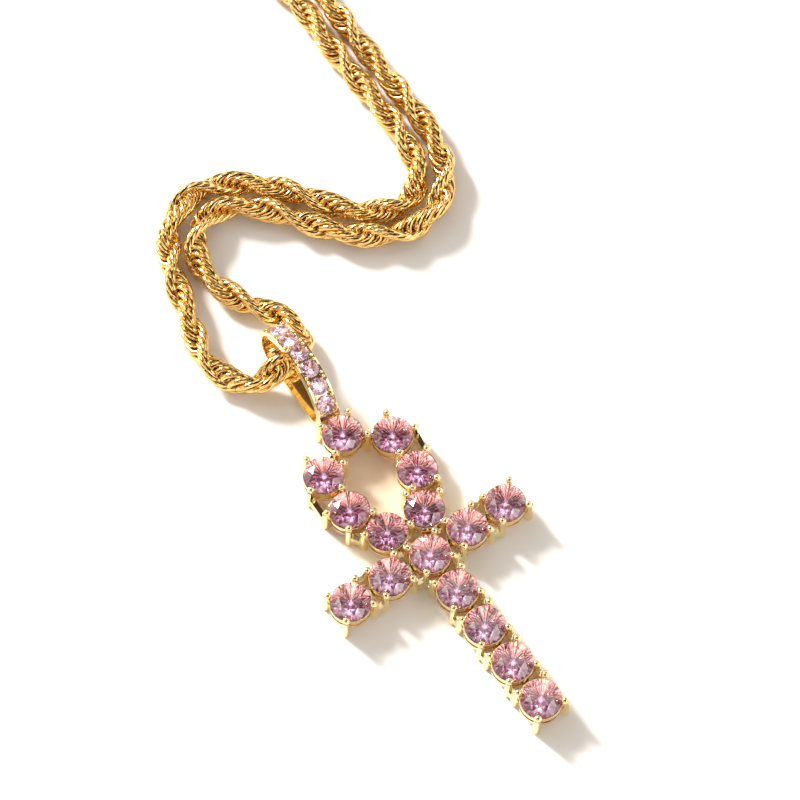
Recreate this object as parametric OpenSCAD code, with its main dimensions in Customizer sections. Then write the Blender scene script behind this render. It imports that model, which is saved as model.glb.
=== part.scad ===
// Ankh pendant set with round stones, on a bail and a rope chain necklace.
// Millimetres, +Z up, lying on z = 0. The origin is the middle of the whole necklace's footprint.

/* [Main stones] */
// Diameter of each main stone
stone_d = 5; // [4.6:0.05:5.1]
// Width of a main stone's table
stone_table_d = 2.85; // [2.4:0.05:3.3]
// Height of a main stone above its girdle
stone_crown_h = 0.8; // [0.5:0.05:1]
// Height of a main stone's girdle
stone_girdle_h = 0.12; // [0.06:0.02:0.2]
// Depth of a main stone below its girdle
stone_pavilion_h = 2.1; // [1.8:0.05:2.4]

/* [Ankh layout] */
// Distance between neighbouring stones along the arms
arm_pitch = 5.8; // [5.75:0.05:6.2]
// Distance between neighbouring stones down the stem
stem_pitch = 5.7; // [5.65:0.05:6.1]
// How far the crossing stone sits below the arms' line
crossing_drop = 0.3; // [0.2:0.05:0.5]
// Width of the loop between the centres of its widest stones
loop_w = 10.24; // [10:0.1:10.8]
// Height of the loop's top stone above the arms' line
loop_h = 19.3; // [19:0.1:20.2]
// Turn of the soldered loop about the crossing, in degrees
loop_lean = 1.3; // [0:0.1:2]

/* [Baskets] */
// Height of the underside of each main stone's girdle above the rest surface
girdle_z = 2.84; // [2.6:0.02:3.2]
// Gap between a stone and the metal that carries it
seat_gap = 0.1; // [0.06:0.01:0.15]
// Width of each basket's rings
ring_w = 0.52; // [0.4:0.02:0.6]
// How far the rings stand out past the stone's edge
ring_out = 0.12; // [0.08:0.01:0.24]
// Height of the bearing ring's outer wall
bearing_h = 0.7; // [0.5:0.05:0.8]
// Height of the gallery ring above the rest surface
gallery_z = 0.9; // [0.6:0.05:1.1]
// Height of the gallery ring's wall
gallery_h = 0.6; // [0.4:0.05:0.7]
// Distance from the stone's edge to the middle of each post
post_out = 0.5; // [0.46:0.02:0.56]
// Diameter of a post at its foot
post_foot_d = 1.2; // [1:0.05:1.3]
// Diameter of a post at its top
post_top_d = 0.8; // [0.7:0.02:0.84]
// Diameter of the ball on each post
tip_d = 0.96; // [0.86:0.02:1.04]
// How far each ball leans in from its post
tip_lean = 0.2; // [0.1:0.02:0.24]
// Height of each ball's middle above the girdle's underside
tip_rise = 0.66; // [0.6:0.02:0.8]
// Width of the bridges between neighbouring baskets
bridge_w = 1.2; // [0.8:0.1:1.6]
// Width of the bars between neighbouring posts
bar_w = 0.7; // [0.5:0.05:0.8]

/* [Eye and bail] */
// Diameter of the wire of the eye on the ankh's top
eye_wire_d = 0.5; // [0.45:0.01:0.55]
// Diameter of the eye along the middle of its wire
eye_d = 1.7; // [1.6:0.05:1.8]
// Gap between the eye and the bail
eye_gap = 0.15; // [0.1:0.01:0.18]
// Width of the bail's band
bail_w = 2.9; // [2.8:0.05:3.1]
// Radius of the front arm's bow
bail_front_r = 9.7; // [9.6:0.05:9.9]
// Radius of the round outer end of the bail
bail_end_r = 2.93; // [2.9:0.01:3]
// Wall of the set front arm
bail_front_t = 0.9; // [0.8:0.05:1]
// Wall of the plain rear arm and outer end
bail_rear_t = 0.6; // [0.5:0.05:0.7]
// Length of the bail
bail_l = 14.5; // [14.3:0.1:14.8]
// Height at which the front arm starts at the bail's foot
foot_h = 2.6; // [2.5:0.05:2.7]
// Length of the foot's round
foot_l = 2.2; // [2:0.1:2.4]
// Height of the foot's round
foot_rise = 1.5; // [1.4:0.05:1.6]
// Sideways lean of the bail, in degrees
bail_lean = 8; // [4:0.5:9]
// How far the bail has slid to the left on its eye
bail_slide = 0.4; // [0:0.05:0.5]

/* [Bail stones] */
// Diameter of each bail stone
pave_d = 2.3; // [2.1:0.05:2.35]
// Width of a bail stone's table
pave_table_d = 1.2; // [1:0.05:1.4]
// Height of a bail stone above its girdle
pave_crown_h = 0.34; // [0.25:0.01:0.4]
// Height of a bail stone's girdle
pave_girdle_h = 0.06; // [0.04:0.01:0.08]
// Depth of a bail stone below its girdle
pave_pavilion_h = 0.8; // [0.6:0.05:0.85]
// Distance between neighbouring bail stones, along the bow of their girdles
pave_pitch = 2.48; // [2.46:0.01:2.52]
// Distance along the bow from the foot to the middle of the first bail stone
pave_inset = 1.84; // [1.8:0.02:1.9]
// Width of the hole under each bail stone, as a share of the stone's diameter
pave_hole = 0.72; // [0.65:0.01:0.75]
// Gap between a bail stone and the metal round it
pave_gap = 0.06; // [0.05:0.01:0.08]
// Depth of the channel that the bail stones stand in
channel_depth = 0.38; // [0.34:0.01:0.42]
// Diameter of the bead prongs
bead_d = 0.46; // [0.4:0.01:0.48]

/* [Chain and clasp] */
// Outer diameter of the rope chain
chain_d = 3.4; // [3:0.05:3.45]
// Length of the clasp
clasp_l = 14; // [12:0.5:16]
// Depth of the socket that takes each chain end
socket_l = 2; // [1.5:0.1:3]
// Gap between the chain and its sockets
socket_gap = 0.1; // [0.05:0.01:0.2]
// Wall of the clasp's end caps
cap_t = 0.6; // [0.4:0.05:0.8]
// Width of each end cap
cap_w = 3; // [2.4:0.1:4]
// How far the barrel steps in from its end caps
barrel_step = 0.3; // [0.1:0.05:0.4]

/* [Hidden] */
stone_names = concat(
  [for (i = [1:7]) str("loop_stone_", i)],
  ["crossing_stone"],
  [for (i = [1:4]) str("arm_stone_", i)],
  [for (i = [1:4]) str("stem_stone_", i)]
);
pave_count = 6;
pave_names = [for (i = [1:pave_count]) str("bail_stone_", i)];

// Roundness of turned forms
round_fn = 32;
// How far one piece of metal runs into the next where they are soldered
solder = 0.1;
// Direction of the first of a straight basket's four posts, in degrees
corner_a = 45;

stone_r = stone_d / 2;
post_r = stone_r + post_out;
ring_r = stone_r + ring_out;

function turn(p, a) = [p[0] * cos(a) - p[1] * sin(a), p[0] * sin(a) + p[1] * cos(a)];

// The loop's lowest pair of baskets rests against the arms' inner posts, one of which serves each basket
low_share = 0.54;
arm_post = turn([arm_pitch - post_r * cos(corner_a), post_r * sin(corner_a)], loop_lean);
low_rise = arm_post[1] + sqrt(pow(post_r, 2) - pow(arm_post[0] - low_share * loop_w / 2, 2));

// Loop baskets, clockwise from the top. Columns: x as a share of half the loop's width, y as a share of the
// way from the lowest pair up to the top, and the directions of the basket's two outer posts, in degrees.
loop_rows = [
  [0, 1, 133, 42],
  [1, 0.749, 72, -17],
  [0.985, 0.349, 33, -66],
  [low_share, 0, 16, -78],
  [-low_share, 0, 258, 162],
  [-0.985, 0.349, 236, 162],
  [-1, 0.749, 203, 106]
];
// Two baskets have a post of their own inside the loop as well. Columns: basket, and direction in degrees.
own_posts = [[3, 110], [6, -3]];
loop_cells = [for (r = loop_rows) [r[0] * loop_w / 2, low_rise + r[1] * (loop_h - low_rise)]];
cross_cell = [0, -crossing_drop];
arm_cells = [for (k = [-2, -1, 1, 2]) [k * arm_pitch, 0]];
stem_cells = [for (k = [1:4]) cross_cell - [0, k * stem_pitch]];
loop_placed = [for (p = loop_cells) turn(p, -loop_lean)];
stone_cells = concat(loop_placed, [cross_cell], arm_cells, stem_cells);
stone_turns = [for (i = [0:15]) i < 7 ? (loop_rows[i][2] + loop_rows[i][3]) / 2 - 90 - loop_lean : 0];

// The necklace's route from the bail to the clasp, as the middle of the rope: left strand, then right strand.
// Columns: x, y and the height over the level at which the rope lies on the surface.
left_route = [
  [0.5, 32, 1.2], [-1.5, 31.5, 1.2], [-3.5, 31.5, 0.5], [-6, 33, 0], [-7.5, 36.5, 0], [-7.5, 40, 0],
  [-6.5, 43.5, 0], [-5.5, 47, 0], [-4.5, 50.5, 0], [-3.5, 53.5, 0], [-1.5, 56.5, 0], [1.5, 59, 0],
  [5, 60, 0], [8.5, 58.9, 0], [11.5, 57, 0], [13.9, 54.5, 0], [16.4, 51.4, 0], [18.3, 48.4, 0],
  [20.4, 45.9, 0], [23, 43.9, 0], [26, 42.9, 0], [29, 44, 0], [31, 46.5, 0], [32, 50, 0], [32.5, 55, 0],
  [32.5, 62, 0], [32.6, 70, 0], [32.9, 78, 0], [31.6, 86, 0], [26.5, 94, 0], [19, 101.5, 0], [9.5, 108, 0],
  [0.5, 116, 0], [-6.5, 125.5, 0], [-10.5, 136.5, 0], [-11, 148, 0], [-8, 159, 0], [-1.5, 168.5, 0],
  [7, 176, 0], [17, 181, 0]
];
right_route = [
  [0.5, 32, 1.2], [2.5, 32.5, 0.8], [4, 34, 0.3], [4, 37, 0], [2.5, 40, 0], [0.5, 43.5, 0], [-0.5, 47, 0],
  [-0.7, 50.6, 0], [0.8, 53.6, 0], [3.9, 55.9, 0], [7, 55.6, 0], [10, 53.5, 0], [12.1, 51.1, 0],
  [14.2, 48.1, 0], [16.2, 45.2, 0], [18.6, 42.6, 0], [21.5, 40.6, 0], [25, 39.3, 0], [28.4, 39.7, 0],
  [31.1, 41.1, 0], [33.4, 43.4, 0], [34.9, 46.7, 0], [35.7, 50, 0], [36.1, 55, 0], [36.1, 62, 0],
  [36.3, 70, 0], [36.7, 78, 0], [38, 86, 0], [42.5, 94, 0], [50, 101.5, 0], [59.5, 108, 0], [68.5, 116, 0],
  [75.5, 125.5, 0], [79.5, 136.5, 0], [80, 148, 0], [77, 159, 0], [70.5, 168.5, 0], [62, 176, 0],
  [52, 181, 0]
];
clasp_at = [34.5, 183];
rope_sides = 8;

chain_r = chain_d / 2;
cap_r = chain_r + socket_gap + cap_t;
end_in = clasp_l / 2 - socket_l + socket_gap;
function laid(route, side) = concat(
  [for (p = route) [p[0], p[1], p[2] + chain_r]],
  [[clasp_at[0] + side * (clasp_l / 2 + solder), clasp_at[1], cap_r]],
  [[clasp_at[0] + side * end_in, clasp_at[1], cap_r]]
);
left_path = laid(left_route, -1);
right_path = laid(right_route, 1);

// The footprint's middle, which becomes the origin
foot_reach = post_r * sin(corner_a) + post_foot_d / 2;
low_x = min(min([for (p = left_path) p[0]]) - chain_r, -2 * arm_pitch - foot_reach);
high_x = max([for (p = right_path) p[0]]) + chain_r;
low_y = cross_cell[1] - 4 * stem_pitch - max(foot_reach, ring_r);
high_y = clasp_at[1] + cap_r;
middle = [(low_x + high_x) / 2, (low_y + high_y) / 2, 0];

// A round brilliant with its girdle's underside at z = 0: table, 8 stars, 8 kites, 16 upper girdle facets,
// 16 girdle flats, 16 lower girdle facets and 8 pavilion mains. The kites and mains are flat because each
// junction point is placed on the plane of its neighbours.
module brilliant(d, table_d, crown_h, girdle_h, pavilion_h) {
  r = d / 2;
  table_r = table_d / 2;
  star_r = (table_r + r) / 2 / cos(22.5) * 0.97;
  low_r = r * 0.3;
  top_z = girdle_h + crown_h;
  star_z = top_z - (star_r * cos(22.5) - table_r) / (r - table_r) * crown_h;
  low_z = -pavilion_h * (1 - low_r * cos(22.5) / r);
  function at(radius, a, z) = [radius * cos(a), radius * sin(a), z];
  points = concat(
    [for (k = [0:7]) at(table_r, 45 * k, top_z)],
    [for (k = [0:7]) at(star_r, 45 * k + 22.5, star_z)],
    [for (j = [0:15]) at(r, 22.5 * j, girdle_h)],
    [for (j = [0:15]) at(r, 22.5 * j, 0)],
    [for (k = [0:7]) at(low_r, 45 * k + 22.5, low_z)],
    [[0, 0, -pavilion_h]]
  );
  function t(k) = (k + 8) % 8;
  function s(k) = 8 + (k + 8) % 8;
  function up(j) = 16 + (j + 16) % 16;
  function dn(j) = 32 + (j + 16) % 16;
  function l(k) = 48 + (k + 8) % 8;
  culet = 56;
  faces = concat(
    [[for (k = [7:-1:0]) t(k)]],
    [for (k = [0:7]) [t(k), t(k + 1), s(k)]],
    [for (k = [0:7]) [t(k), s(k), up(2 * k), s(k - 1)]],
    [for (k = [0:7]) [s(k), up(2 * k + 1), up(2 * k)]],
    [for (k = [0:7]) [s(k), up(2 * k + 2), up(2 * k + 1)]],
    [for (j = [0:15]) [up(j), up(j + 1), dn(j + 1), dn(j)]],
    [for (k = [0:7]) [dn(2 * k), dn(2 * k + 1), l(k)]],
    [for (k = [0:7]) [dn(2 * k + 1), dn(2 * k + 2), l(k)]],
    [for (k = [0:7]) [dn(2 * k), l(k), culet, l(k - 1)]]
  );
  polyhedron(points, faces);
}

module main_stone(i) {
  color("orchid")
    translate([stone_cells[i][0], stone_cells[i][1], girdle_z] - middle)
      rotate(stone_turns[i])
        brilliant(stone_d, stone_table_d, stone_crown_h, stone_girdle_h, stone_pavilion_h);
}

// One prong: a tapered post with a ball that leans towards the stone. inward is the angle of the lean.
module post(p, inward) {
  tip_z = girdle_z + tip_rise;
  translate([p[0], p[1], 0]) {
    cylinder(d1 = post_foot_d, d2 = post_top_d, h = tip_z, $fn = round_fn);
    translate([tip_lean * cos(inward), tip_lean * sin(inward), tip_z]) sphere(d = tip_d, $fn = round_fn);
  }
}

// The two rings of a basket. The bearing ring's sloping seat follows the stone's underside.
module rings(p) {
  inner_r = ring_r - ring_w;
  slope = stone_pavilion_h / stone_r;
  lip_z = girdle_z - seat_gap;
  translate([p[0], p[1], 0]) {
    rotate_extrude($fn = 2 * round_fn)
      polygon([
        [inner_r, lip_z - bearing_h], [ring_r, lip_z - bearing_h], [ring_r, lip_z],
        [stone_r, lip_z], [inner_r, lip_z - (stone_r - inner_r) * slope]
      ]);
    rotate_extrude($fn = 2 * round_fn)
      translate([inner_r, gallery_z]) square([ring_w, gallery_h]);
  }
}

// A bar between the points p and q, which stops short of both by a and stands on z = low
module bar(p, q, a, w, low, h) {
  d = q - p;
  translate([p[0], p[1], low]) rotate(atan2(d[1], d[0]))
    translate([a, -w / 2, 0]) cube([norm(d) - 2 * a, w, h]);
}

// Solders two neighbouring baskets together between their rings
module bridge(p, q) {
  bar(p, q, ring_r - ring_w / 2, bridge_w, gallery_z, gallery_h);
}

// Joins the feet of two neighbouring posts
module post_bar(p, q) {
  bar(p, q, 0, bar_w, gallery_z / 2, gallery_h + gallery_z);
}

function corner(p, a) = p + post_r * [cos(a), sin(a)];

// A post of the basket at p, in direction a from its middle
module outward_post(p, a) {
  post(corner(p, a), a + 180);
}

// The point beside the line from p to q where one post serves both baskets, on the side given
function shared(p, q, side) =
  let (d = q - p, half = norm(d) / 2, n = [-d[1], d[0]] / norm(d))
  (p + q) / 2 + side * n * sqrt(max(post_r * post_r - half * half, post_out * post_out));

module loop_metal() {
  for (p = loop_cells) rings(p);
  for (i = [0:6]) bridge(loop_cells[i], loop_cells[(i + 1) % 7]);
  // Outer posts, two to each basket, but one where an arm's post serves
  for (i = [0:6]) {
    if (i != 4) outward_post(loop_cells[i], loop_rows[i][2]);
    if (i != 3) outward_post(loop_cells[i], loop_rows[i][3]);
  }
  for (r = own_posts) outward_post(loop_cells[r[0]], r[1]);
  // Inner posts, each shared by two baskets, and the one under the lowest pair
  for (i = [0:6]) {
    p = loop_cells[i];
    q = loop_cells[(i + 1) % 7];
    side = i == 3 ? 1 : -1;
    d = q - p;
    post(shared(p, q, side), atan2(d[0], -d[1]) + (side < 0 ? 0 : 180));
  }
  // Bars between the outer posts of the side baskets
  for (i = [1, 2, 4, 5])
    post_bar(corner(loop_cells[i], loop_rows[i][3]), corner(loop_cells[i + 1], loop_rows[i + 1][2]));
}

module cross_metal() {
  cells = concat([cross_cell], arm_cells, stem_cells);
  for (p = cells) {
    rings(p);
    for (k = [0:3]) outward_post(p, corner_a + 90 * k);
  }
  along_arms = [arm_cells[0], arm_cells[1], cross_cell, arm_cells[2], arm_cells[3]];
  down_stem = concat([cross_cell], stem_cells);
  for (i = [0:3]) {
    bridge(along_arms[i], along_arms[i + 1]);
    bridge(down_stem[i], down_stem[i + 1]);
    for (s = [-1, 1]) {
      post_bar(corner(along_arms[i], s * corner_a), corner(along_arms[i + 1], s * (180 - corner_a)));
      post_bar(corner(down_stem[i], s * corner_a - 90), corner(down_stem[i + 1], 90 - s * corner_a));
    }
  }
}

// The eye: a ring of wire on edge, soldered to the top basket by a small block
eye_r = eye_d / 2;
eye_at = [0, loop_h + stone_r + eye_r - solder, gallery_z + eye_r - eye_wire_d / 3];
module eye_wire(extra) {
  translate([eye_at[0], eye_at[1], eye_at[2]]) rotate([0, 90, 0])
    rotate_extrude($fn = round_fn)
      translate([eye_r, 0]) circle(d = eye_wire_d + 2 * extra, $fn = round_fn / 2);
}

module ankh_frame() {
  color("gold") translate(-middle) {
    cross_metal();
    rotate(-loop_lean) {
      loop_metal();
      for (i = [3, 4]) bridge(loop_cells[i], cross_cell);
      eye_wire(0);
      block_y = loop_h + ring_r - ring_w;
      block_l = eye_at[1] - eye_r - block_y + eye_wire_d / 2;
      block_h = girdle_z - seat_gap - bearing_h - gallery_z + solder;
      translate([-eye_wire_d / 2, block_y, gallery_z]) cube([eye_wire_d, block_l, block_h]);
    }
  }
}

// The bail's outline, seen from the side: x runs away from the ankh and y is up. The flat rear arm lies
// along y = 0, the round end turns up from it, and the bowed front arm runs on from the round end, without a
// corner, back to the foot.
end_c = [bail_l - bail_end_r, bail_end_r];
front_start = [0, foot_h];

// The lower middle of the circle with radius r that touches the round end from outside and passes through p
function bow_middle(p, r) =
  let (d = p - end_c, u = d / norm(d), near = r - bail_end_r)
  let (a = (near * near - r * r + norm(d) * norm(d)) / (2 * norm(d)))
  end_c + a * u + sqrt(near * near - a * a) * [-u[1], u[0]];

front_c = bow_middle(front_start, bail_front_r);
end_angle = atan2(end_c[1] - front_c[1], end_c[0] - front_c[0]);
foot_angle = atan2(front_start[1] - front_c[1], front_start[0] - front_c[0]);
inner_r = bail_front_r - bail_front_t;
inner_angle = 180 - asin((foot_h - front_c[1]) / inner_r);
function oval(c, r, a, b, n) = [
  for (i = [0:n])
    let (t = a + (b - a) * i / n) c + [r[0] * cos(t), r[1] * sin(t)]
];
function arc(c, r, a, b, n) = oval(c, [r, r], a, b, n);
foot_c = [foot_l, foot_rise];
outer_outline = concat(
  arc(end_c, bail_end_r, -90, end_angle, 20),
  arc(front_c, bail_front_r, end_angle, foot_angle, 28),
  oval(foot_c, foot_c, 180, 270, 6)
);
inner_outline = concat(
  arc(end_c, bail_end_r - bail_rear_t, -90, end_angle, 20),
  arc(front_c, inner_r, end_angle, inner_angle, 26),
  oval(foot_c, foot_c - [bail_front_t, bail_rear_t], 180, 270, 6)
);

// The bail stones stand over the floor of a channel along the front arm's bow. It leaves a rail on each edge.
channel_w = pave_d + 2 * pave_gap;
floor_r = bail_front_r - channel_depth;
pave_lift = (1 - pave_hole) * pave_pavilion_h + pave_gap;
pave_step = pave_pitch / (floor_r + pave_lift) * 180 / PI;
pave_first = foot_angle - pave_inset / bail_front_r * 180 / PI;
function pave_angle(i) = pave_first - pave_step * i;
channel_ends = [pave_angle(-0.5), pave_angle(pave_count - 0.5)];
bead_across = (channel_w - bead_d) / 2 + solder;
bead_along = sqrt(pow((pave_d + bead_d) / 2 + pave_gap, 2) - pow(bead_across, 2));
channel_outline = concat(
  arc(front_c, floor_r, channel_ends[0], channel_ends[1], 28),
  arc(front_c, bail_front_r + channel_depth, channel_ends[1], channel_ends[0], 28)
);

// Turns a form with its own z outward to a place on the front arm's bow, in the bail's own frame, whose
// x is across the band, y away from the ankh and z up
module on_bow(a, r) {
  translate([0, front_c[0] + r * cos(a), front_c[1] + r * sin(a)]) rotate([a - 90, 0, 0]) children();
}

// Puts the bail's own frame at the ankh's top, leaning to one side on its lower right edge
bail_y = loop_h + ring_r + eye_gap;
module bail_place() {
  translate(-middle) rotate(-loop_lean) translate([bail_w / 2 - bail_slide, bail_y, 0])
    rotate([0, bail_lean, 0]) translate([-bail_w / 2, 0, 0]) children();
}

module bail_band() {
  difference() {
    rotate([90, 0, 90]) linear_extrude(bail_w, center = true) difference() {
      polygon(outer_outline);
      polygon(inner_outline);
    }
    rotate([90, 0, 90]) linear_extrude(channel_w, center = true) polygon(channel_outline);
    for (i = [0:pave_count - 1])
      on_bow(pave_angle(i), floor_r)
        cylinder(d = pave_d * pave_hole, h = 3 * bail_front_t, center = true, $fn = round_fn);
  }
  // Bead prongs, four to a stone
  for (i = [0:pave_count - 1], s = [-1, 1], t = [-1, 1])
    on_bow(pave_angle(i), floor_r) translate([s * bead_across, t * bead_along, -solder]) {
      cylinder(d = bead_d, h = channel_depth + solder, $fn = round_fn / 2);
      translate([0, 0, channel_depth + solder]) sphere(d = bead_d, $fn = round_fn / 2);
    }
}

module bail() {
  color("gold") difference() {
    bail_place() bail_band();
    translate(-middle) rotate(-loop_lean) eye_wire(eye_gap);
  }
}

module bail_stone(i) {
  color("plum") bail_place() on_bow(pave_angle(i), floor_r + pave_lift) rotate(22.5)
    brilliant(pave_d, pave_table_d, pave_crown_h, pave_girdle_h, pave_pavilion_h);
}

// A tube swept along a path: a ring at each point, upright and square to the path there. The point before is
// where the other strand goes on, so that both strands end in the same face.
module rope_tube(path, before) {
  last = len(path) - 1;
  function unit(v) = v / norm(v);
  function along(i) = unit(path[min(i + 1, last)] - (i == 0 ? before : path[i - 1]));
  function ring(i) =
    let (t = along(i), across = unit(cross(t, [0, 0, 1])), over = cross(across, t))
    [for (k = [0:rope_sides - 1])
      path[i] + chain_r * (cos(360 / rope_sides * k) * across + sin(360 / rope_sides * k) * over)];
  function at(i, k) = i * rope_sides + k % rope_sides;
  points = [for (i = [0:last]) each ring(i)];
  faces = concat(
    [[for (k = [rope_sides - 1:-1:0]) at(0, k)]],
    [[for (k = [0:rope_sides - 1]) at(last, k)]],
    [for (i = [0:last - 1], k = [0:rope_sides - 1]) [at(i, k), at(i + 1, k + 1), at(i + 1, k)]],
    [for (i = [0:last - 1], k = [0:rope_sides - 1]) [at(i, k), at(i, k + 1), at(i + 1, k + 1)]]
  );
  polyhedron(points, faces);
}

module chain_left() {
  color("goldenrod") translate(-middle) rope_tube(left_path, right_path[1]);
}

module chain_right() {
  color("goldenrod") translate(-middle) rope_tube(right_path, left_path[1]);
}

// A plain barrel with a cap on each end and a socket in each cap
module clasp() {
  color("gold") translate([clasp_at[0], clasp_at[1], cap_r] - middle) rotate([0, 90, 0]) difference() {
    union() {
      cylinder(r = cap_r - barrel_step, h = clasp_l - cap_w, center = true, $fn = 2 * round_fn);
      for (s = [-1, 1])
        translate([0, 0, s * (clasp_l - cap_w) / 2])
          cylinder(r = cap_r, h = cap_w, center = true, $fn = 2 * round_fn);
    }
    for (s = [-1, 1])
      translate([0, 0, s * (clasp_l - socket_l) / 2 + s * solder])
        cylinder(r = chain_r + socket_gap, h = socket_l + 2 * solder, center = true, $fn = 2 * round_fn);
  }
}

ankh_frame();
for (i = [0:len(stone_names) - 1])
  main_stone(i);
bail();
for (i = [0:pave_count - 1])
  bail_stone(i);
chain_left();
chain_right();
clasp();
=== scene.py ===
# An ankh pendant set with pink stones, on a stone-set bail and a twisted rope chain, lying on a white table.

import bpy
import numpy as np
from mathutils import Matrix, Vector


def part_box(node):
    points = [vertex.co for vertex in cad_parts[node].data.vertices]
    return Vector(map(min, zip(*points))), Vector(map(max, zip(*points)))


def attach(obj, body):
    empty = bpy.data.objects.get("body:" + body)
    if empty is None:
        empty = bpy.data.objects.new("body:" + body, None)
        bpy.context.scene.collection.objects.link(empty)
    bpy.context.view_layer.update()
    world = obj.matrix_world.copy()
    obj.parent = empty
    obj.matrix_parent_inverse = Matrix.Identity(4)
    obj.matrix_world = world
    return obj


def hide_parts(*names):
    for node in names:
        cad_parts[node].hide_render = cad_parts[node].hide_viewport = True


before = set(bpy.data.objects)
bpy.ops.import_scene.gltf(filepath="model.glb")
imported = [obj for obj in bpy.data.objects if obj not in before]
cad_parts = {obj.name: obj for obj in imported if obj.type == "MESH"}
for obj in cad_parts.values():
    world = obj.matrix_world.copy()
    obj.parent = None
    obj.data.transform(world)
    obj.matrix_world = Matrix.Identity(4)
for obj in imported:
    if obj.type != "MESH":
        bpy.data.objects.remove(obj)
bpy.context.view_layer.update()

# Place and camera
# The crossing stone sits just below the middle of the ankh's arms, so it gives the point that everything is
# measured from. The camera is a long lens that looks down at the pendant from the foot of its stem.
mm = 0.001
crossing_drop = 0.3 * mm
crossing_low, crossing_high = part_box("crossing_stone")
crossing = (crossing_low + crossing_high) / 2
ankh = Vector((crossing.x, crossing.y + crossing_drop, 0))

camera_from_ankh = Vector((-75.65, -95.83, 283.59)) * mm
camera_right = Vector((0.81918, -0.57340, 0.01241))
camera_up = Vector((0.50661, 0.73357, 0.45301))

camera_data = bpy.data.cameras.new("photo_camera")
camera_data.sensor_width = 36
camera_data.lens = 112.5
camera_data.clip_start = 0.01
camera = bpy.data.objects.new("photo_camera", camera_data)
bpy.context.scene.collection.objects.link(camera)
turn = Matrix((camera_right, camera_up, camera_right.cross(camera_up))).transposed()
camera.matrix_world = Matrix.Translation(ankh + camera_from_ankh) @ turn.to_4x4()
bpy.context.scene.camera = camera

# Rope chain
# Two strands seem to twist round each other, but the rope is a row of long wire rings, each threaded through
# the ones before it and turned a little further. It is polished yellow gold plate, deeper in colour
# than the pendant, and runs from the bail in two lengths to the clasp.
rope_d = 3.5 * mm
ring_l = 5.0 * mm
ring_wire_d = 0.82 * mm
ring_step = 0.96 * mm
ring_lean = np.radians(10)
rope_twist_l = 13.4 * mm
ring_corners = 20
wire_corners = 8
curve_samples = 40

# Both routes are in millimetres from the middle of the ankh's arms, and their heights are the rope's underside.
left_route = [
    (0.5, 32, 1.2), (-1.5, 31.5, 1.2), (-3.5, 31.5, 0.5), (-6, 33, 0), (-7.5, 36.5, 0), (-7.5, 40, 0),
    (-6.5, 43.5, 0), (-5.5, 47, 0), (-4.5, 50.5, 0), (-3.5, 53.5, 0), (-1.5, 56.5, 0), (1.5, 59, 0),
    (5, 60, 0), (8.5, 58.9, 0), (11.5, 57, 0), (13.9, 54.5, 0), (16.4, 51.4, 0), (18.3, 48.4, 0),
    (20.4, 45.9, 0), (23, 43.9, 0), (26, 42.9, 0), (29, 44, 0), (31, 46.5, 0), (32, 50, 0), (32.5, 55, 0),
    (32.5, 62, 0), (32.6, 70, 0), (32.9, 78, 0), (31.6, 86, 0), (26.5, 94, 0), (19, 101.5, 0), (9.5, 108, 0),
    (0.5, 116, 0), (-6.5, 125.5, 0), (-10.5, 136.5, 0), (-11, 148, 0), (-8, 159, 0), (-1.5, 168.5, 0),
    (7, 176, 0), (17, 181, 0), (27.4, 183, 0.7), (29.4, 183, 0.7),
]
right_route = [
    (0.5, 32, 1.2), (2.5, 32.5, 0.8), (4, 34, 0.3), (4, 37, 0), (2.5, 40, 0), (0.5, 43.5, 0), (-0.5, 47, 0),
    (-0.7, 50.6, 0), (0.8, 53.6, 0), (3.9, 55.9, 0), (7, 55.6, 0), (10, 53.5, 0), (12.1, 51.1, 0),
    (14.2, 48.1, 0), (16.2, 45.2, 0), (18.6, 42.6, 0), (21.5, 40.6, 0), (25, 39.3, 0), (28.4, 39.7, 0),
    (31.1, 41.1, 0), (33.4, 43.4, 0), (34.9, 46.7, 0), (35.7, 50, 0), (36.1, 55, 0), (36.1, 62, 0),
    (36.3, 70, 0), (36.7, 78, 0), (38, 86, 0), (42.5, 94, 0), (50, 101.5, 0), (59.5, 108, 0), (68.5, 116, 0),
    (75.5, 125.5, 0), (79.3, 136.5, 0), (79.65, 148, 0), (77, 159, 0), (70.5, 168.5, 0), (62, 176, 0),
    (52, 181, 0), (41.6, 183, 0.7), (39.6, 183, 0.7),
]


def smooth_path(points, step):
    """A Catmull-Rom curve through the points, read off at equal steps along its length."""
    ends = np.vstack([2 * points[0] - points[1], points, 2 * points[-1] - points[-2]])
    t = np.linspace(0, 1, curve_samples, endpoint=False)[None, :, None]
    p0, p1, p2, p3 = (ends[i : len(ends) - 3 + i, None] for i in range(4))
    curve = (
        2 * p1 + (p2 - p0) * t + (2 * p0 - 5 * p1 + 4 * p2 - p3) * t**2 + (3 * p1 - p0 - 3 * p2 + p3) * t**3
    ) / 2
    curve = np.vstack([curve.reshape(-1, 3), points[-1]])
    along = np.concatenate([[0], np.cumsum(np.linalg.norm(np.diff(curve, axis=0), axis=1))])
    stops = np.linspace(0, along[-1], round(along[-1] / step) + 1)
    return stops, np.stack([np.interp(stops, along, curve[:, i]) for i in range(3)], axis=1)


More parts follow.
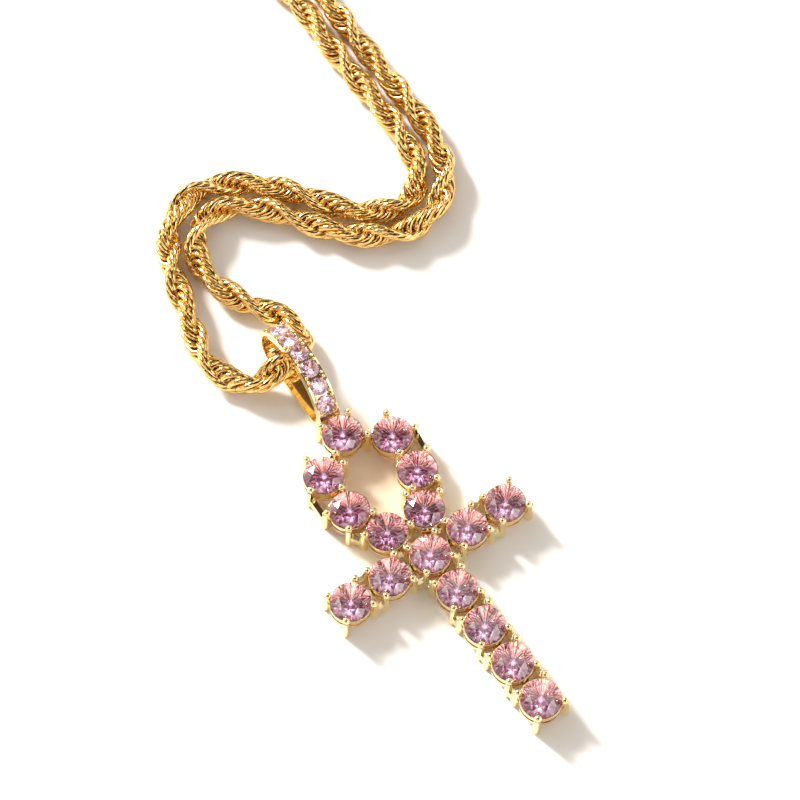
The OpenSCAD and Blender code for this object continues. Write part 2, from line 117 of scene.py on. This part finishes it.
def closed_grids(name, points):
    """A mesh of many equal grids, each closed both ways like a ring of wire: points[k, u, v] is the corner at
    u, v of grid k, and the last row and column join the first."""
    count, nu, nv = points.shape[:3]
    u, v = np.meshgrid(np.arange(nu), np.arange(nv), indexing="ij")
    u1, v1 = (u + 1) % nu, (v + 1) % nv
    quad = np.stack([u * nv + v, u1 * nv + v, u1 * nv + v1, u * nv + v1], axis=-1).reshape(-1, 4)
    quads = (np.arange(count)[:, None, None] * nu * nv + quad[None]).reshape(-1, 4)
    mesh = bpy.data.meshes.new(name)
    mesh.vertices.add(count * nu * nv)
    mesh.vertices.foreach_set("co", points.reshape(-1).astype(np.float32))
    mesh.loops.add(quads.size)
    mesh.loops.foreach_set("vertex_index", quads.reshape(-1).astype(np.int32))
    mesh.polygons.add(len(quads))
    mesh.polygons.foreach_set("loop_start", np.arange(0, quads.size, 4, dtype=np.int32))
    mesh.polygons.foreach_set("use_smooth", np.ones(len(quads), bool))
    mesh.update(calc_edges=True)
    piece = bpy.data.objects.new(name, mesh)
    bpy.context.scene.collection.objects.link(piece)
    return piece


def rope_rings(centres, along):
    """Oval rings of round wire. Ring k lies in the plane of an arm across the rope and of a slant, which leans a
    little from the rope's direction. The arm turns once round the rope in each twist length. A corner is at
    centre + (W + w cos b) cos a arm + (L + w cos b) sin a slant + w sin b normal, with W and L half the ring's
    width and length to the middle of the wire, and w half the wire's width."""
    direction = np.gradient(centres, axis=0)
    direction /= np.linalg.norm(direction, axis=1, keepdims=True)
    side = np.cross(direction, [0, 0, 1])
    side /= np.linalg.norm(side, axis=1, keepdims=True)
    over = np.cross(side, direction)
    turn_angle = (2 * np.pi * along / rope_twist_l)[:, None]
    arm = side * np.cos(turn_angle) - over * np.sin(turn_angle)
    slant = direction * np.cos(ring_lean) + np.cross(direction, arm) * np.sin(ring_lean)
    normal = np.cross(arm, slant)
    wire_r = ring_wire_d / 2
    a = np.linspace(0, 2 * np.pi, ring_corners, endpoint=False)[None, :, None, None]
    b = np.linspace(0, 2 * np.pi, wire_corners, endpoint=False)[None, None, :, None]
    arm, slant, normal, centres = (x[:, None, None, :] for x in (arm, slant, normal, centres))
    across = (rope_d / 2 - wire_r + wire_r * np.cos(b)) * np.cos(a)
    lengthwise = (ring_l / 2 - wire_r + wire_r * np.cos(b)) * np.sin(a)
    return centres + across * arm + lengthwise * slant + wire_r * np.sin(b) * normal


def arithmetic(tree, operation, *values):
    """The result of one operation on values that are each a number or another node's output."""
    node = tree.nodes.new("ShaderNodeMath")
    node.operation = operation
    for i, value in enumerate(values):
        if isinstance(value, (int, float)):
            node.inputs[i].default_value = value
        else:
            tree.links.new(value, node.inputs[i])
    return node.outputs["Value"]


def ranged(tree, value, low, high, to_low=0, to_high=1):
    """Goes evenly from to_low to to_high while the value goes from low to high, and stays level past them."""
    node = tree.nodes.new("ShaderNodeMapRange")
    for socket, number in (("From Min", low), ("From Max", high), ("To Min", to_low), ("To Max", to_high)):
        node.inputs[socket].default_value = number
    tree.links.new(value, node.inputs["Value"])
    return node.outputs["Result"]


def mixed(tree, share, first, second, kind="MIX"):
    """The first colour where the share is 0, and where it is 1 the second, or with MULTIPLY the two multiplied.
    Each is a tuple or another node's output."""
    node = tree.nodes.new("ShaderNodeMix")
    node.data_type = "RGBA"
    node.blend_type = kind
    tree.links.new(share, node.inputs["Factor"])
    for socket, colour in (("A", first), ("B", second)):
        if isinstance(colour, tuple):
            node.inputs[socket].default_value = (*colour, 1)
        else:
            tree.links.new(colour, node.inputs[socket])
    return node.outputs["Result"]


def noise(tree, place, detail):
    """A noise texture read at a place. Its scale is still to be set."""
    node = tree.nodes.new("ShaderNodeTexNoise")
    node.inputs["Detail"].default_value = detail
    tree.links.new(place, node.inputs["Vector"])
    return node


def new_group(name, inputs, outputs):
    """An empty shader node group with its sockets, given as pairs of name and kind, and its two end nodes."""
    group = bpy.data.node_groups.new(name, "ShaderNodeTree")
    for way, sockets in (("INPUT", inputs), ("OUTPUT", outputs)):
        for socket, kind in sockets:
            group.interface.new_socket(socket, in_out=way, socket_type="NodeSocket" + kind)
    return group, group.nodes.new("NodeGroupInput").outputs, group.nodes.new("NodeGroupOutput").inputs


# The polish that all the gold shares: noise between the stain's limits turns the colour to the stain.
wiping_detail = 3
stain_start = 0.5
stain_full = 0.85
gloss_spread = 0.05
wiping_depth = 0.05 * mm
wiping_strength = 0.18
edge_samples = 6


def polish_group():
    """The small unevenness of plated and polished metal: one noise gives the patches of stain, the spread of the
    roughness, which is the least roughness + noise x spread, and the height of the wiping marks."""
    group, given, result = new_group(
        "hand_polish",
        (("Scale", "Float"), ("Roughness", "Float"), ("Spread", "Float"), ("Colour", "Color"), ("Tarnish", "Color")),
        (("Colour", "Color"), ("Roughness", "Float"), ("Height", "Float")),
    )
    place = group.nodes.new("ShaderNodeTexCoord")
    wiping = noise(group, place.outputs["Object"], wiping_detail)
    group.links.new(given["Scale"], wiping.inputs["Scale"])
    marks = wiping.outputs["Fac"]
    stain = ranged(group, marks, stain_start, stain_full)
    group.links.new(mixed(group, stain, given["Colour"], given["Tarnish"]), result["Colour"])
    roughness = arithmetic(group, "MULTIPLY_ADD", marks, given["Spread"], given["Roughness"])
    group.links.new(roughness, result["Roughness"])
    group.links.new(marks, result["Height"])
    return group


hand_polish = polish_group()


def gold(name, colour, tarnish, roughness, scale, edge):
    """Polished gold plate of one colour, with a warmer stain in patches, slightly uneven gloss, and edges rounded
    by tumbling over the width edge."""
    material = bpy.data.materials.new(name)
    material.use_nodes = True
    nodes, links = material.node_tree.nodes, material.node_tree.links
    shader = nodes["Principled BSDF"]
    shader.inputs["Metallic"].default_value = 1
    polish = nodes.new("ShaderNodeGroup")
    polish.node_tree = hand_polish
    polish.inputs["Scale"].default_value = scale
    polish.inputs["Roughness"].default_value = roughness
    polish.inputs["Spread"].default_value = gloss_spread
    polish.inputs["Colour"].default_value = (*colour, 1)
    polish.inputs["Tarnish"].default_value = (*tarnish, 1)
    links.new(polish.outputs["Colour"], shader.inputs["Base Color"])
    links.new(polish.outputs["Roughness"], shader.inputs["Roughness"])
    bump = nodes.new("ShaderNodeBump")
    bump.inputs["Strength"].default_value = wiping_strength
    bump.inputs["Distance"].default_value = wiping_depth
    links.new(polish.outputs["Height"], bump.inputs["Height"])
    if edge:
        rounded = nodes.new("ShaderNodeBevel")
        rounded.samples = edge_samples
        rounded.inputs["Radius"].default_value = edge
        links.new(rounded.outputs["Normal"], bump.inputs["Normal"])
    links.new(bump.outputs["Normal"], shader.inputs["Normal"])
    return material


route = np.array(left_route[::-1] + right_route[1:]) * mm
route[:, 2] += rope_d / 2
route += np.array(ankh)
ring_along, ring_centres = smooth_path(route, ring_step)
ring_centres[:, 2] = np.maximum(ring_centres[:, 2], rope_d / 2)
rope = closed_grids("rope_chain", rope_rings(ring_centres, ring_along))
rope_yellow = (0.93, 0.64, 0.245)
rope_stain = (0.58, 0.28, 0.055)
rope_gold = gold("rope_gold", rope_yellow, rope_stain, roughness=0.04, scale=700, edge=0)
rope.data.materials.append(rope_gold)
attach(rope, "root")
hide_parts("chain_left", "chain_right")

# Ankh frame, bail and clasp
# One casting and soldering job: round baskets of two rings and tapered posts with balled tips, joined by
# bridges into the ankh. It is plated in a paler yellow gold than the chain and polished, and the bail is too.
# The clasp is a turned barrel in the chain's gold.
setting_yellow = (1.0, 0.85, 0.5)
setting_stain = (1.0, 0.72, 0.32)
setting_gold = gold("setting_gold", setting_yellow, setting_stain, roughness=0.05, scale=500, edge=0.08 * mm)


def finish_node(name, material):
    """Gives a carried-over part its finish."""
    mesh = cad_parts[name].data
    mesh.materials.clear()
    mesh.materials.append(material)


finish_node("ankh_frame", setting_gold)
finish_node("bail", setting_gold)
finish_node("clasp", rope_gold)

# Stones
# Round brilliants of clear pink glass-like crystal, cut with a table, stars, kites and a facetted underside.
# Warm pink is painted light on the side away from the viewer, and it shades to a painted lavender shade on the
# near side. Painted lighter and darker rays and a painted glow stand for light caught inside the stone: pink
# rays and a white star over the culet, the point underneath.
# Warm and Cool are the painted lit and shaded sides of a stone, and the glows are its painted inner light.
main_colours = {
    "Warm": (1.0, 0.74, 0.68),
    "Cool": (0.12, 0.05, 0.1),
    "Warm Glow": (0.263, 0.132, 0.116),
    "Cool Glow": (0.013, 0.0053, 0.0105),
}
bail_colours = {
    "Warm": (1.0, 0.86, 0.86),
    "Cool": (1.0, 0.84, 0.96),
    "Warm Glow": (0.105, 0.071, 0.068),
    "Cool Glow": (0.013, 0.0053, 0.0105),
}
# The painted shade of the darker rays, and the painted glow of the star over the culet and its strength.
ray_shade = (0.34, 0.2, 0.28)
star_glow = (1.0, 0.921, 0.947)
no_glow = (0.0, 0.0, 0.0)
glow_strength = 6.08
crystal_ior = 2.1

# The limits of fade, girdle and star are shares of the stone's radius, and those of a ray are values of its noise.
# Along the fade direction the painted light rises from the cool shaded side to the warm lit side.
fade_direction = Vector((0.593, 0.805, 0))
fade_cool_end = -0.15
fade_warm_end = 0.45
ray_noise_scale = 9
ray_light = 0.43
ray_dark = 0.57
own_pattern_shift = 200
girdle_top = 0.25
girdle_foot = 0.15
star_edge = 0.2
star_core = 0.04


def vector(tree, operation, first, second=None):
    """The result of one operation on vectors. The second is a tuple, a Vector or another node's output."""
    node = tree.nodes.new("ShaderNodeVectorMath")
    node.operation = operation
    tree.links.new(first, node.inputs[0])
    if isinstance(second, (tuple, Vector)):
        node.inputs[1].default_value = second
    elif second:
        tree.links.new(second, node.inputs["Scale" if operation == "SCALE" else 1])
    return node.outputs["Value" if operation in ("DOT_PRODUCT", "LENGTH", "DISTANCE") else "Vector"]


def stone_colour_and_painted_light_group():
    """The stone's colour with painted light and shade and a painted inner glow, worked out from u, the place from
    the stone's centre divided by its radius. The share of the warm colours, the painted lit side, rises evenly with
    u along the fade direction. Narrow facets ray out from the culet: a noise read at the direction of u in plan, the
    same all along a ray, paints each one lighter or darker. The stone's own centre shifts that noise, so each stone
    has a pattern of its own. Under the girdle the lighter rays get a painted glow, most over the culet, where they
    make a painted white star."""
    colours = tuple((name, "Color") for name in main_colours)
    group, given, result = new_group(
        "stone_colour_and_painted_light", (("Centre", "Vector"), ("Size", "Float"), *colours), (("Colour", "Color"), ("Glow", "Color"))
    )
    place = group.nodes.new("ShaderNodeTexCoord")
    from_centre = vector(group, "SUBTRACT", place.outputs["Object"], given["Centre"])
    u = vector(group, "SCALE", from_centre, arithmetic(group, "DIVIDE", 1, given["Size"]))
    plan = vector(group, "MULTIPLY", u, (1, 1, 0))
    own_pattern = vector(group, "MULTIPLY", given["Centre"], (own_pattern_shift,) * 3)
    rays = noise(group, vector(group, "ADD", vector(group, "NORMALIZE", plan), own_pattern), 0)
    rays.inputs["Scale"].default_value = ray_noise_scale
    ray = ranged(group, rays.outputs["Fac"], ray_light, ray_dark)
    fade = ranged(group, vector(group, "DOT_PRODUCT", u, fade_direction), fade_cool_end, fade_warm_end)
    height = group.nodes.new("ShaderNodeSeparateXYZ")
    group.links.new(u, height.inputs["Vector"])
    under_girdle = ranged(group, height.outputs["Z"], girdle_top, girdle_foot)
    star = ranged(group, vector(group, "LENGTH", plan), star_edge, star_core)

    # Painted light and shade: the cool shaded side fades to the warm lit side, and the darker rays are painted
    # darker.
    tint_and_painted_light = mixed(group, fade, given["Cool"], given["Warm"])
    group.links.new(mixed(group, ray, tint_and_painted_light, ray_shade, "MULTIPLY"), result["Colour"])
    # Painted glow: the lighter rays under the girdle glow, and over the culet they glow as a white star.
    glow = mixed(group, fade, given["Cool Glow"], given["Warm Glow"])
    lit_ray = mixed(group, ray, mixed(group, star, glow, star_glow), no_glow)
    group.links.new(mixed(group, under_girdle, no_glow, lit_ray), result["Glow"])
    return group


stone_colour_and_painted_light = stone_colour_and_painted_light_group()


def gem(name, colours):
    """Clear crystal with the stone's colour, painted light and shade and a painted inner glow, set to the middle
    and size of one stone.
    """
    low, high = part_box(name)
    material = bpy.data.materials.new(name)
    material.use_nodes = True
    nodes, links = material.node_tree.nodes, material.node_tree.links
    shader = nodes["Principled BSDF"]
    shader.inputs["Transmission Weight"].default_value = 1
    shader.inputs["Roughness"].default_value = 0
    shader.inputs["IOR"].default_value = crystal_ior
    shader.inputs["Emission Strength"].default_value = glow_strength
    tint_and_painted_light = nodes.new("ShaderNodeGroup")
    tint_and_painted_light.node_tree = stone_colour_and_painted_light
    tint_and_painted_light.inputs["Centre"].default_value = (low + high) / 2
    tint_and_painted_light.inputs["Size"].default_value = (high.x - low.x) / 2
    for socket, colour in colours.items():
        tint_and_painted_light.inputs[socket].default_value = (*colour, 1)
    # The base colour carries the painted light and shade, and the emission is the painted glow.
    links.new(tint_and_painted_light.outputs["Colour"], shader.inputs["Base Color"])
    links.new(tint_and_painted_light.outputs["Glow"], shader.inputs["Emission Color"])
    return material


for name in sorted(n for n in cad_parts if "_stone" in n):
    finish_node(name, gem(name, bail_colours if name.startswith("bail") else main_colours))

# Table
# A wide white table with a fine matt finish. The gold throws warm light down on it, most inside the loop,
# which is given as a warmer colour of the table round the loop's middle.
table_half = 1.5
table_white = (0.93, 0.92, 0.905)
warm_white = (0.88, 0.72, 0.56)
warm_reach = 12 * mm
warm_core = 3 * mm
loop_middle = ankh + Vector((0, 11.5, 0)) * mm

table_mesh = bpy.data.meshes.new("table_top")
table_corners = [(x * table_half, y * table_half, 0) for x, y in ((-1, -1), (1, -1), (1, 1), (-1, 1))]
table_mesh.from_pydata(table_corners, [], [(0, 1, 2, 3)])
table = bpy.data.objects.new("table_top", table_mesh)
bpy.context.scene.collection.objects.link(table)
white_table = bpy.data.materials.new("white_table")
white_table.use_nodes = True
table_tree = white_table.node_tree
table_shader = table_tree.nodes["Principled BSDF"]
table_shader.inputs["Roughness"].default_value = 0.6
table_place = table_tree.nodes.new("ShaderNodeTexCoord")
from_loop = vector(table_tree, "DISTANCE", table_place.outputs["Object"], loop_middle)
warm_share = ranged(table_tree, from_loop, warm_reach, warm_core)
warm_share.node.interpolation_type = "SMOOTHSTEP"
table_colour = mixed(table_tree, warm_share, table_white, warm_white)
table_tree.links.new(table_colour, table_shader.inputs["Base Color"])
table_mesh.materials.append(white_table)

# Light
# A room of pale walls and lamps with warm dark patches between them, dimmer straight overhead and dark where
# the viewer leans in. The camera itself sees a plain pale room. A low sun behind the pendant's loop throws
# soft shadows towards the foot of the stem.
low_wall = (0.58, 0.56, 0.53)
low_patch = (0.2, 0.1, 0.035)
lamp = (1.5, 1.47, 1.42)
high_patch = (0.07, 0.035, 0.012)
daylight = (1.0, 0.98, 0.96)
room_strength = 1.95
patch_scale = 3.2
low_patch_edge = (0.4, 0.45)
lamp_edge = (0.53, 0.58)
high_room_edge = (0.42, 0.55)
viewer_edge = (0.86, 0.92)
viewer_dim = 0.05
overhead_edge = (0.84, 0.9)
overhead_dim = 0.35
viewer_direction = (-0.245, -0.31, 0.919)
sun_direction = Vector((0.18, -0.98, -0.55))

room = bpy.data.worlds.new("pale_room")
room.use_nodes = True
room_tree = room.node_tree
walls = room_tree.nodes["Background"]
direction = room_tree.nodes.new("ShaderNodeTexCoord").outputs["Generated"]
height = room_tree.nodes.new("ShaderNodeSeparateXYZ")
room_tree.links.new(direction, height.inputs["Vector"])
rise = height.outputs["Z"]
patches = noise(room_tree, direction, 0)
patches.inputs["Scale"].default_value = patch_scale
patch = patches.outputs["Fac"]

low_room = mixed(room_tree, ranged(room_tree, patch, *low_patch_edge), low_patch, low_wall)
high_room = mixed(room_tree, ranged(room_tree, patch, *lamp_edge), high_patch, lamp)
high_share = ranged(room_tree, rise, *high_room_edge)
room_tree.links.new(mixed(room_tree, high_share, low_room, high_room), walls.inputs["Color"])

toward_viewer = vector(room_tree, "DOT_PRODUCT", direction, viewer_direction)
viewer_light = ranged(room_tree, toward_viewer, *viewer_edge, to_low=1, to_high=viewer_dim)
overhead_light = ranged(room_tree, rise, *overhead_edge, to_low=1, to_high=overhead_dim)
upper_light = arithmetic(room_tree, "MINIMUM", viewer_light, overhead_light)
room_tree.links.new(arithmetic(room_tree, "MULTIPLY", upper_light, room_strength), walls.inputs["Strength"])

plain_room = room_tree.nodes.new("ShaderNodeBackground")
plain_room.inputs["Color"].default_value = (*daylight, 1)
seen = room_tree.nodes.new("ShaderNodeLightPath")
choose = room_tree.nodes.new("ShaderNodeMixShader")
room_tree.links.new(seen.outputs["Is Camera Ray"], choose.inputs["Fac"])
room_tree.links.new(walls.outputs["Background"], choose.inputs[1])
room_tree.links.new(plain_room.outputs["Background"], choose.inputs[2])
room_tree.links.new(choose.outputs["Shader"], room_tree.nodes["World Output"].inputs["Surface"])
bpy.context.scene.world = room

sun_data = bpy.data.lights.new("window_light", "SUN")
sun_data.energy = 6.2
sun_data.angle = np.radians(13)
sun_data.color = daylight
sun = bpy.data.objects.new("window_light", sun_data)
sun.rotation_euler = sun_direction.to_track_quat("-Z", "Y").to_euler()
bpy.context.scene.collection.objects.link(sun)

bpy.context.scene.view_settings.view_transform = "Standard"
